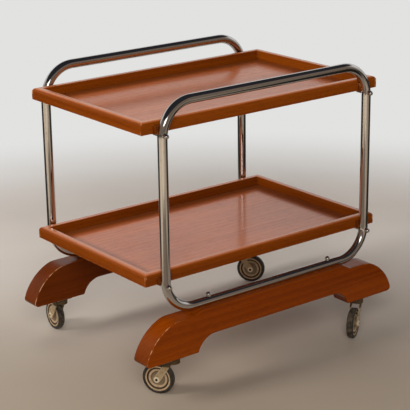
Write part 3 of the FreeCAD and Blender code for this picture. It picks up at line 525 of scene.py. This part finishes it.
def grain_place(bench, along_y):
    """Coordinates whose X runs along the grain."""
    if not along_y:
        return bench.place()
    turn = (0.0, 0.0, math.radians(90.0))
    mapping = bench.add("ShaderNodeMapping", {"Vector": bench.place(), "Rotation": turn})
    return mapping.outputs["Vector"]


def rim_lines(bench, place, halves, width):
    """Masks of a line of the given width inside the ends of a tray, and inside its long sides."""
    parts = bench.add("ShaderNodeSeparateXYZ", {0: place}).outputs
    lines = []
    for part, half in zip(parts, halves):
        lines.append(bench.ramp(bench.math("ABSOLUTE", part), half - width, half - width * LINE_CORE))
    return lines


def panel_painted_shade(bench, place, wood):
    """Painted shade: a dark line where a panel meets its rim, and a wider dark border of painted shade and
    painted reflection of the rim.
    """
    line = bench.math("MAXIMUM", *rim_lines(bench, bench.place(), TRAY_INSIDE, SHADE_LINE_WIDTH))
    patchy = bench.ramp(bench.noise(place, scale=25.0), *SHADE_LINE_RANGE, *SHADE_LINE_STRENGTH)
    border = bench.math("MAXIMUM", *rim_lines(bench, bench.place(), TRAY_INSIDE, SHADE_BORDER_WIDTH))
    dark = bench.math("MULTIPLY", border, wood.border)
    return bench.math("MAXIMUM", bench.math("MULTIPLY", line, patchy), dark), wood.pore


def rubbed(bench, place, amount, edge=0.0):
    """Mask of rubbed arrises, also used for painted highlights; edge is a mask of more places that are
    rubbed.
    """
    sockets = {"Vector": place, "Radius": ARRIS_WIDTH, "Amount": amount, "Edge": edge}
    return bench.group("edge_wear_and_highlight", sockets)["Mask"]


def rail_chips(bench, place, wood):
    """Lacquer chipped off along the mitres and down the corners of a rim."""
    corner = bench.math("MULTIPLY", *rim_lines(bench, bench.place(), TRAY_OUTSIDE, CHIP_WIDTH))
    return bench.math("MULTIPLY", rubbed(bench, place, wood.wear, corner), WEAR_AND_HIGHLIGHT_STRENGTH), wood.worn


def runner_arris_wear_and_highlight(bench, place, wood):
    """Lacquer rubbed off the rounded arrises of the feet, which look only partly across the runner, and a
    painted highlight along them.
    """
    across = bench.math("ABSOLUTE", bench.vector("DOT_PRODUCT", bench.normal(), ACROSS))
    arris = bench.math("MULTIPLY", bench.ramp(across, *ARRIS_START), bench.ramp(across, *ARRIS_END))
    along = bench.math("ABSOLUTE", bench.part(place, "X"))
    arris = bench.math("MULTIPLY", arris, bench.ramp(along, *FOOT_WEAR_AND_HIGHLIGHT))
    return bench.math("MULTIPLY", rubbed(bench, place, wood.wear, arris), WEAR_AND_HIGHLIGHT_STRENGTH), wood.worn


def timber_material(name, wood, along_y, rough_from, lacquer, marks_and_painted_light, painted_shade=0.0):
    """Lacquered wood; lacquer holds constant shader values, a function given after it makes the mask and
    colour of the marks of use and of painted light, and a last share darkens the whole piece as painted
    shade.
    """
    material, bench, shader = new_material(name)
    place = grain_place(bench, along_y)
    grain = bench.group("timber_grain", {
        "Vector": place, "Light": wood.light, "Dark": wood.dark, "Pore": wood.pore,
        "Ring": wood.ring, "Fibre": wood.fibre, "Wander": wood.wander})
    marks = bench.group("hand_marks", {"Vector": place})
    mask, mark_and_light_colour = marks_and_painted_light(bench, place, wood)
    grain_axis = ACROSS if along_y else ALONG
    end_grain = bench.math("ABSOLUTE", bench.vector("DOT_PRODUCT", bench.normal(), grain_axis))
    # end grain darkens by its own stain, and the whole piece by its painted shade
    end_stain_and_shade = bench.ramp(end_grain, *END_GRAIN, painted_shade, max(painted_shade, wood.end_stain))
    base = bench.mix(end_stain_and_shade, grain["Color"], wood.pore)
    rough = bench.math("ADD", bench.math("ADD", grain["Roughness"], marks["Roughness"]), rough_from)
    rough = bench.math("ADD", rough, bench.math("MULTIPLY", mask, MARK_ROUGHNESS))
    bench.feed(shader.inputs["Base Color"], bench.mix(mask, base, mark_and_light_colour))
    bench.feed(shader.inputs["Roughness"], rough)
    bench.feed(shader.inputs["Normal"], bench.bump(grain["Height"], strength=0.06, distance=FINE_RELIEF))
    for socket, value in lacquer.items():
        shader.inputs[socket].default_value = value
    return material


def polish_and_highlight_tops(material, wood):
    """Painted highlight of paler wood, and a fuller coat that hands polish, on the faces that look up."""
    bench = Bench(material.node_tree)
    sockets = material.node_tree.nodes["Principled BSDF"].inputs
    upward = bench.vector("DOT_PRODUCT", bench.normal(), UP)
    base = sockets["Base Color"].links[0].from_socket
    painted_top_highlight = bench.ramp(upward, *POLISH_AND_HIGHLIGHT_FROM, 0.0, wood.top_highlight_strength)
    bench.feed(sockets["Base Color"], bench.mix(painted_top_highlight, base, wood.painted_top_highlight))
    bench.feed(sockets["Coat Weight"], bench.ramp(upward, *POLISH_AND_HIGHLIGHT_FROM, *RIM_COAT))


def grime(bench, place, dirt):
    """Mask of grime; dirt holds the size of its patches and its amount."""
    return bench.group("grime", {"Vector": place, **dirt})["Mask"]


def wheel_place(bench, corner):
    """Coordinates on a caster and their distance from its axle."""
    spin = JOINTS[corner + "_spin"]
    place = bench.place()
    wheel = bench.group("wheel_radius", {"Vector": place, "Hub": spin["pos_m"], "Axle": spin["axis"]})
    return place, wheel["Radius"]


def darken_metal(bench, shader, darkened, clean, rough, metallic):
    """Dirt on brassed metal, with painted shade in the rivets; rough and metallic each hold a value for clean
    and one for darkened metal.
    """
    bench.feed(shader.inputs["Base Color"], bench.mix(darkened, clean, look().metal.stain))
    bench.feed(shader.inputs["Roughness"], bench.ramp(darkened, *DARKER_ROUGHENS, *rough))
    bench.feed(shader.inputs["Metallic"], bench.ramp(darkened, *DARKER_DULLS, *metallic))


def chrome_material(name):
    """Bright chrome with finger marks and specks of rust."""
    metal = look().metal
    material, bench, shader = new_material(name)
    place = bench.place()
    marks = bench.group("hand_marks", {"Vector": place})
    pits = grime(bench, place, CHROME_PITS)
    base = bench.mix(bench.math("MULTIPLY", pits, PIT_SHADE), metal.chrome, metal.pit)
    rough = bench.math("ADD", marks["Roughness"], CHROME_ROUGHNESS)
    rough = bench.math("ADD", rough, bench.math("MULTIPLY", pits, PIT_ROUGHNESS))
    bench.feed(shader.inputs["Base Color"], base)
    bench.feed(shader.inputs["Roughness"], rough)
    shader.inputs["Metallic"].default_value = 1.0
    return material


def plated_material(name, dirt, rough_from):
    """Dull plated steel with stains."""
    metal = look().metal
    material, bench, shader = new_material(name)
    place = bench.place()
    stain = grime(bench, place, dirt)
    cloud = bench.noise(place, scale=160.0, detail=3.0)
    tarnished = [TARNISH_KEEPS * part for part in metal.plated]
    tone = bench.mix(bench.ramp(cloud, *TARNISH_RANGE), metal.plated, tarnished)
    tone = bench.mix(bench.math("MULTIPLY", stain, PLATED_SHADE), tone, metal.stain)
    rough = bench.math("ADD", bench.ramp(cloud, *TARNISH_ROUGHENS, *TARNISH_ROUGHNESS), rough_from)
    rough = bench.math("ADD", rough, bench.math("MULTIPLY", stain, STAIN_ROUGHNESS))
    bench.feed(shader.inputs["Base Color"], tone)
    bench.feed(shader.inputs["Roughness"], rough)
    bench.feed(shader.inputs["Metallic"], bench.ramp(stain, *PLATED_DULLS, *PLATED_METALLIC))
    bench.feed(shader.inputs["Normal"], bench.bump(cloud, strength=0.08, distance=FINE_RELIEF))
    return material


def fork_material(name):
    """Brassed steel: bright at its rubbed edges, which also carry a painted highlight, with stains, and
    darker towards the top at the swivel.
    """
    metal = look().metal
    material, bench, shader = new_material(name)
    place = bench.place()
    stain = grime(bench, place, FORK_STAIN)
    darker_top = bench.ramp(bench.part(place, "Z"), *SWIVEL_DARKENING, *TOP_DARKENING)
    tone = bench.mix(rubbed(bench, place, FORK_WEAR_AND_HIGHLIGHT), metal.brass, metal.bright)
    darkened = bench.math("MAXIMUM", bench.math("MULTIPLY", stain, FORK_SHADE), darker_top)
    darken_metal(bench, shader, darkened, tone, FORK_ROUGHNESS, FORK_METALLIC)
    bench.feed(shader.inputs["Normal"], bench.bump(stain, strength=0.10, distance=FINE_RELIEF))
    shader.inputs["Specular IOR Level"].default_value = FORK_SPECULAR
    return material


def axle_material(corner):
    """Rivet: bright brassed head with a dark ring of painted shade round its middle."""
    material, bench, shader = new_material(corner + "_rivet")
    place, radius = wheel_place(bench, corner)
    ring = bench.math(
        "MULTIPLY", bench.ramp(radius, *RIVET_PAINTED_SHADE_OUTSIDE), bench.ramp(radius, *RIVET_PAINTED_SHADE_INSIDE))
    stain = grime(bench, place, RIVET_STAIN)
    darkened = bench.math("MAXIMUM", ring, bench.math("MULTIPLY", stain, RIVET_SHADE))
    darken_metal(bench, shader, darkened, look().metal.bright, RIVET_ROUGHNESS, RIVET_METALLIC)
    bench.feed(shader.inputs["Normal"], bench.bump(stain, strength=0.08, distance=FINE_RELIEF))
    return material


def disc_material(corner):
    """Pressed disc: pale rubbed rings, grease in the channel and rust in the dish."""
    material, bench, shader = new_material(corner + "_disc")
    place, radius = wheel_place(bench, corner)
    stain = grime(bench, place, DISC_STAIN)
    dish = bench.ramp(radius, *DISC_DISH, *DISH_SHADE)
    channel = bench.math(
        "MULTIPLY", bench.ramp(radius, *DISC_CHANNEL_INSIDE), bench.ramp(radius, *DISC_CHANNEL_OUTSIDE))
    rubbed_rings = bench.ramp(stain, 0.0, 1.0, *RING_SHADE)
    darkened = bench.math("MAXIMUM", bench.math("MAXIMUM", dish, channel), rubbed_rings)
    darken_metal(bench, shader, darkened, look().metal.disc, DISC_ROUGHNESS, DISC_METALLIC)
    bench.feed(shader.inputs["Normal"], bench.bump(stain, strength=0.10, distance=DISC_RELIEF))
    return material


def tyre_material(corner):
    """Black rubber, dusty on the tread and round the bead."""
    rubber = look().tyre
    material, bench, shader = new_material(corner + "_tyre")
    place, radius = wheel_place(bench, corner)
    tread = bench.ramp(radius, *TYRE_TREAD, *TREAD_DUST)
    bead = bench.ramp(radius, *TYRE_BEAD, *BEAD_DUST)
    dusty = bench.math("ADD", bench.math("MAXIMUM", tread, bead), WALL_DUST)
    mask = bench.math("MULTIPLY", dusty, grime(bench, place, TYRE_DUST), clamp=True)
    fine = bench.noise(place, scale=900.0)
    bench.feed(shader.inputs["Base Color"], bench.mix(mask, rubber.rubber, rubber.dust))
    bench.feed(shader.inputs["Roughness"], bench.ramp(mask, *DUST_ROUGHENS, *RUBBER_ROUGHNESS))
    bench.feed(shader.inputs["Normal"], bench.bump(fine, strength=0.15, distance=FINE_RELIEF))
    return material


# Operators

class TROLLEY_OT_tray_rails(bpy.types.Operator):
    """Finish the rims of both trays in lacquered solid wood"""
    bl_idname = "trolley.tray_rails"
    bl_label = "Tray rails"

    def execute(self, context):
        wood = look().rail
        for names, along_y in ((SIDES, False), (ENDS, True)):
            label = "rail_wood_across" if along_y else "rail_wood_along"
            material = timber_material(label, wood, along_y, WOOD_ROUGHNESS, RIM_LACQUER, rail_chips)
            # painted highlight and polish on the upward faces of the rims
            polish_and_highlight_tops(material, wood)
            dress(material, ["%s_tray_%s_rail" % (tier, name) for tier in TIERS for name in names])
        return {"FINISHED"}


class TROLLEY_OT_post_saddles(bpy.types.Operator):
    """Finish the saddles behind the posts in lacquered wood darkened with painted shade"""
    bl_idname = "trolley.post_saddles"
    bl_label = "Post saddles"

    def execute(self, context):
        wood = look().rail
        material = timber_material(
            "saddle_wood", wood, False, WOOD_ROUGHNESS, THIN_LACQUER, rail_chips, wood.painted_shade)
        dress(material, [tier + "_post_saddles" for tier in TIERS])
        return {"FINISHED"}


class TROLLEY_OT_tray_panels(bpy.types.Operator):
    """Finish the tray panels in veneer under a clear lacquer"""
    bl_idname = "trolley.tray_panels"
    bl_label = "Tray panels"

    def execute(self, context):
        # the veneer is darkened with painted shade along its rim
        material = timber_material(
            "panel_veneer", look().panel, False, VENEER_ROUGHNESS, PANEL_LACQUER, panel_painted_shade)
        dress(material, [tier + "_tray_panel" for tier in TIERS])
        return {"FINISHED"}


class TROLLEY_OT_tube_loops(bpy.types.Operator):
    """Finish the tube loops and the dome-headed fasteners in chrome"""
    bl_idname = "trolley.tube_loops"
    bl_label = "Tube loops"

    def execute(self, context):
        dress(chrome_material("loop_chrome"), [side + "_loop" for side in SIDES])
        dress(chrome_material("dome_chrome"), [tier + "_dome_nuts" for tier in TIERS] + ["runner_bolts"])
        return {"FINISHED"}


class TROLLEY_OT_runners(bpy.types.Operator):
    """Finish the runners in lacquered solid wood"""
    bl_idname = "trolley.runners"
    bl_label = "Runners"

    def execute(self, context):
        runner = look().runner
        # the far runner is a darker copy of the near one, darkened with painted shade
        for side, painted_shade in zip(SIDES, (0.0, runner.painted_shade)):
            material = timber_material(
                side + "_runner_wood", runner, False, WOOD_ROUGHNESS, THIN_LACQUER, runner_arris_wear_and_highlight, painted_shade)
            dress(material, [side + "_runner"])
        return {"FINISHED"}


class TROLLEY_OT_underside(bpy.types.Operator):
    """Finish the rods, clips, screws, washers and nuts in dull plated steel"""
    bl_idname = "trolley.underside"
    bl_label = "Rods and fixings"

    def execute(self, context):
        material = plated_material("plated_steel", FIXING_STAIN, FIXING_ROUGHNESS)
        names = ["%s_%s_tie_rod" % (tier, end) for tier in TIERS for end in ENDS]
        names += [tier + piece for tier in TIERS for piece in ("_rod_clips", "_clip_screws")]
        dress(material, names + ["runner_washers", "runner_nuts", "caster_screws"])
        return {"FINISHED"}


class TROLLEY_OT_casters(bpy.types.Operator):
    """Finish the swivels, forks and axles of the casters"""
    bl_idname = "trolley.casters"
    bl_label = "Caster forks"

    def execute(self, context):
        brass = fork_material("brassed_steel")
        steel = plated_material("caster_steel", PIN_STAIN, PIN_ROUGHNESS)
        for corner in CORNERS:
            dress(brass, [corner + "_caster_" + piece for piece in ("fork", "plate")])
            dress(axle_material(corner), [corner + "_caster_axle"])
            dress(steel, [corner + "_caster_" + piece for piece in ("king_pin", "balls")])
        return {"FINISHED"}


class TROLLEY_OT_wheels(bpy.types.Operator):
    """Finish the wheel discs and their rubber tyres"""
    bl_idname = "trolley.wheels"
    bl_label = "Wheels"

    def execute(self, context):
        for corner in CORNERS:
            dress(disc_material(corner), [corner + "_caster_wheel_disc"])
            dress(tyre_material(corner), [corner + "_caster_tyre"])
        return {"FINISHED"}


# Stage

# width of the square photograph in pixels, and of the camera's sensor in millimetres
IMAGE_SIZE = 410
SENSOR_WIDTH = 36.0
# level directions from the camera past the trolley to the back wall, and to the right of the picture
BEHIND = (0.612, 0.790, 0.0)
ASIDE = (0.790, -0.612, 0.0)
FLOOR_RADIUS = 25.0
FLOOR_CORNERS = 96
FLOOR_SPECULAR = 0.25
FLOOR_ROUGHNESS = (0.55, 0.65)
# noise between which the floor is clouded, and how much
CLOUD_RANGE = (0.3, 0.7)
CLOUD_SHADE = (0.0, 0.12)
# distances behind the trolley, beside it or all round it between which the floor changes
BACK_DEPTH = (-0.5, 0.9)
FRONT_DEPTH = (-0.5, -0.9)
APRON_DEPTH = (-1.60, -1.95)
APRON_BESIDE = (0.50, 0.95)
FLAG_DEPTH = (-0.55, -0.35)
FLAG_BESIDE = (0.70, 0.85)
SWEEP_FROM = (1.1, 2.0)
# parts of a direction that lie behind, ahead, beside or upwards, between which the world changes
WALL_BEHIND = (-0.10, 0.45)
WALL_FOOT = (0.20, 0.31)
CEILING_FROM = (0.45, 0.60)
WINDOW_AHEAD = (-0.80, -0.88)
WINDOW_BESIDE = (0.24, 0.18)
WINDOW_SILL = (0.20, 0.24)
WINDOW_HEAD = (0.48, 0.42)
# places and sizes of the lamps, and where they all point
LAMP_TARGET = (0.0, 0.0, 0.4)
KEY_PLACE, KEY_SIZE = (-3.1, 0.7, 2.3), (1.0, 1.2)
TOP_PLACE, TOP_SIZE = (-0.3, 1.5, 3.4), (3.0, 2.4)
FILL_PLACE, FILL_SIZE = (-1.9, -2.5, 2.0), (1.4, 1.4)


def floor_mesh():
    """A round floor with its middle under the trolley."""
    mesh = bpy.data.meshes.new("studio_floor")
    ring = [2.0 * math.pi * number / FLOOR_CORNERS for number in range(FLOOR_CORNERS)]
    points = [(FLOOR_RADIUS * math.cos(turn), FLOOR_RADIUS * math.sin(turn), 0.0) for turn in ring]
    mesh.from_pydata(points, [], [list(range(FLOOR_CORNERS))])
    return mesh


def floor_material(stage):
    """A plain floor that pales towards the back, with a dim front and dark sides mirrored in the metal."""
    material, bench, shader = new_material("floor_plain")
    place = bench.place()
    path = bench.add("ShaderNodeLightPath").outputs
    glossy = path["Is Glossy Ray"]
    depth = bench.vector("DOT_PRODUCT", place, BEHIND)
    aside = bench.math("ABSOLUTE", bench.vector("DOT_PRODUCT", place, ASIDE))
    flag = bench.math("MULTIPLY", bench.ramp(aside, *FLAG_BESIDE), bench.ramp(depth, *FLAG_DEPTH))
    cloud = bench.noise(place, scale=1.3, detail=3.0)
    plain = bench.mix(bench.ramp(depth, *BACK_DEPTH), stage.floor, stage.back)
    tone = bench.mix(bench.ramp(cloud, *CLOUD_RANGE, *CLOUD_SHADE), plain, stage.front)
    pale = bench.math("MAXIMUM", bench.ramp(aside, *APRON_BESIDE), bench.ramp(depth, *APRON_DEPTH))
    front = bench.mix(pale, stage.front, stage.apron)
    tone = bench.mix(bench.math("MULTIPLY", glossy, bench.ramp(depth, *FRONT_DEPTH)), tone, front)
    bench.feed(shader.inputs["Base Color"], bench.mix(bench.math("MULTIPLY", glossy, flag), tone, stage.flag))
    bench.feed(shader.inputs["Roughness"], bench.ramp(cloud, *CLOUD_RANGE, *FLOOR_ROUGHNESS))
    shader.inputs["Specular IOR Level"].default_value = FLOOR_SPECULAR
    far = bench.ramp(bench.vector("LENGTH", place), *SWEEP_FROM)
    direct = bench.math("MAXIMUM", path["Is Camera Ray"], path["Is Transmission Ray"])
    mirrored = bench.math("MULTIPLY", bench.ramp(depth, *SWEEP_FROM), bench.math("SUBTRACT", 1.0, flag))
    seen = bench.math("MULTIPLY", direct, far)
    seen = bench.math("MAXIMUM", seen, bench.math("MULTIPLY", glossy, mirrored))
    glow = bench.add("ShaderNodeEmission", {"Color": stage.sweep}).outputs["Emission"]
    sweep = bench.add("ShaderNodeMixShader", {0: seen, 1: shader.outputs["BSDF"], 2: glow})
    bench.feed(material.node_tree.nodes["Material Output"].inputs["Surface"], sweep.outputs["Shader"])
    return material


def add_lamp(name, place, size, energy):
    """A soft lamp that points at the trolley and isn't mirrored in it."""
    lamp = bpy.data.lights.new(name, "AREA")
    lamp.shape = "RECTANGLE"
    lamp.size, lamp.size_y = size
    lamp.energy = energy
    item = bpy.data.objects.new(name, lamp)
    item.location = place
    item.rotation_mode = "QUATERNION"
    item.rotation_quaternion = (Vector(LAMP_TARGET) - Vector(place)).to_track_quat("-Z", "Y")
    item.visible_glossy = False
    bpy.context.scene.collection.objects.link(item)


def make_world(stage):
    """A pale wall behind the trolley, a dim room with a window in front of it and a dark ceiling."""
    world = bpy.data.worlds.new("studio")
    world.use_nodes = True
    tree = world.node_tree
    bench = Bench(tree)
    direction = bench.add("ShaderNodeTexCoord").outputs["Generated"]
    height = bench.part(direction, "Z")
    depth = bench.vector("DOT_PRODUCT", direction, BEHIND)
    wall = bench.mix(bench.ramp(height, *WALL_FOOT), stage.low_wall, stage.wall)
    light = bench.mix(bench.ramp(depth, *WALL_BEHIND), stage.room, wall)
    light = bench.mix(bench.ramp(height, *CEILING_FROM), light, stage.ceiling)
    aside = bench.math("ABSOLUTE", bench.vector("DOT_PRODUCT", direction, ASIDE))
    level = bench.math("MULTIPLY", bench.ramp(depth, *WINDOW_AHEAD), bench.ramp(aside, *WINDOW_BESIDE))
    upright = bench.math("MULTIPLY", bench.ramp(height, *WINDOW_SILL), bench.ramp(height, *WINDOW_HEAD))
    window = bench.math("MULTIPLY", level, upright)
    light = bench.mix(window, light, [stage.window_light * part for part in stage.wall])
    seen = bench.add("ShaderNodeLightPath").outputs["Is Camera Ray"]
    bench.feed(tree.nodes["Background"].inputs["Color"], bench.mix(seen, light, stage.sweep))
    bpy.context.scene.world = world


def add_camera(stage):
    """The camera of the photograph: yaw about Z, then pitch down, then roll."""
    sine, cosine = math.sin(stage.camera_yaw), math.cos(stage.camera_yaw)
    down, level = math.sin(stage.camera_pitch), math.cos(stage.camera_pitch)
    ahead = Vector((-sine * level, cosine * level, -down))
    right = Vector((cosine, sine, 0.0))
    below = ahead.cross(right)
    tilt = stage.camera_roll
    image_right = right * math.cos(tilt) + below * math.sin(tilt)
    image_up = right * math.sin(tilt) - below * math.cos(tilt)
    turn = Matrix((image_right, image_up, -ahead)).transposed()
    data = bpy.data.cameras.new("photo_camera")
    data.sensor_width = SENSOR_WIDTH
    data.lens = SENSOR_WIDTH * stage.focal_pixels / IMAGE_SIZE
    camera = bpy.data.objects.new("photo_camera", data)
    camera.matrix_world = Matrix.Translation(stage.camera_place) @ turn.to_4x4()
    bpy.context.scene.collection.objects.link(camera)
    bpy.context.scene.camera = camera


class TROLLEY_OT_stage(bpy.types.Operator):
    """Set the floor, the lights, the world and the camera"""
    bl_idname = "trolley.stage"
    bl_label = "Stage"

    def execute(self, context):
        stage = look().stage
        floor = bpy.data.objects.new("studio_floor", floor_mesh())
        floor.data.materials.append(floor_material(stage))
        context.scene.collection.objects.link(floor)
        add_lamp("key_lamp", KEY_PLACE, KEY_SIZE, stage.key_power)
        add_lamp("top_lamp", TOP_PLACE, TOP_SIZE, stage.top_power)
        add_lamp("fill_lamp", FILL_PLACE, FILL_SIZE, stage.fill_power)
        make_world(stage)
        add_camera(stage)
        context.scene.view_settings.view_transform = "Standard"
        return {"FINISHED"}


class TROLLEY_PT_finishes(bpy.types.Panel):
    """Lists the trolley's finishes"""
    bl_idname = "TROLLEY_PT_finishes"
    bl_label = "Tea trolley"
    bl_space_type = "VIEW_3D"
    bl_region_type = "UI"
    bl_category = "Tea trolley"

    def draw(self, context):
        for operator in OPERATORS:
            self.layout.operator(operator.bl_idname)


OPERATORS = (
    TROLLEY_OT_tray_rails, TROLLEY_OT_post_saddles, TROLLEY_OT_tray_panels, TROLLEY_OT_tube_loops,
    TROLLEY_OT_runners, TROLLEY_OT_underside, TROLLEY_OT_casters, TROLLEY_OT_wheels, TROLLEY_OT_stage)
CLASSES = (
    RailLook, PanelLook, RunnerLook, MetalLook, TyreLook, StageLook, TrolleyLook,
    *OPERATORS, TROLLEY_PT_finishes)


def register():
    for item in CLASSES:
        bpy.utils.register_class(item)
    bpy.types.Scene.trolley_look = PointerProperty(type=TrolleyLook)


def unregister():
    del bpy.types.Scene.trolley_look
    for item in reversed(CLASSES):
        bpy.utils.unregister_class(item)


def main():
    register()
    make_groups()
    bpy.ops.trolley.tray_rails()
    bpy.ops.trolley.post_saddles()
    bpy.ops.trolley.tray_panels()
    bpy.ops.trolley.tube_loops()
    bpy.ops.trolley.runners()
    bpy.ops.trolley.underside()
    bpy.ops.trolley.casters()
    bpy.ops.trolley.wheels()
    bpy.ops.trolley.stage()


if __name__ == "__main__":
    main()
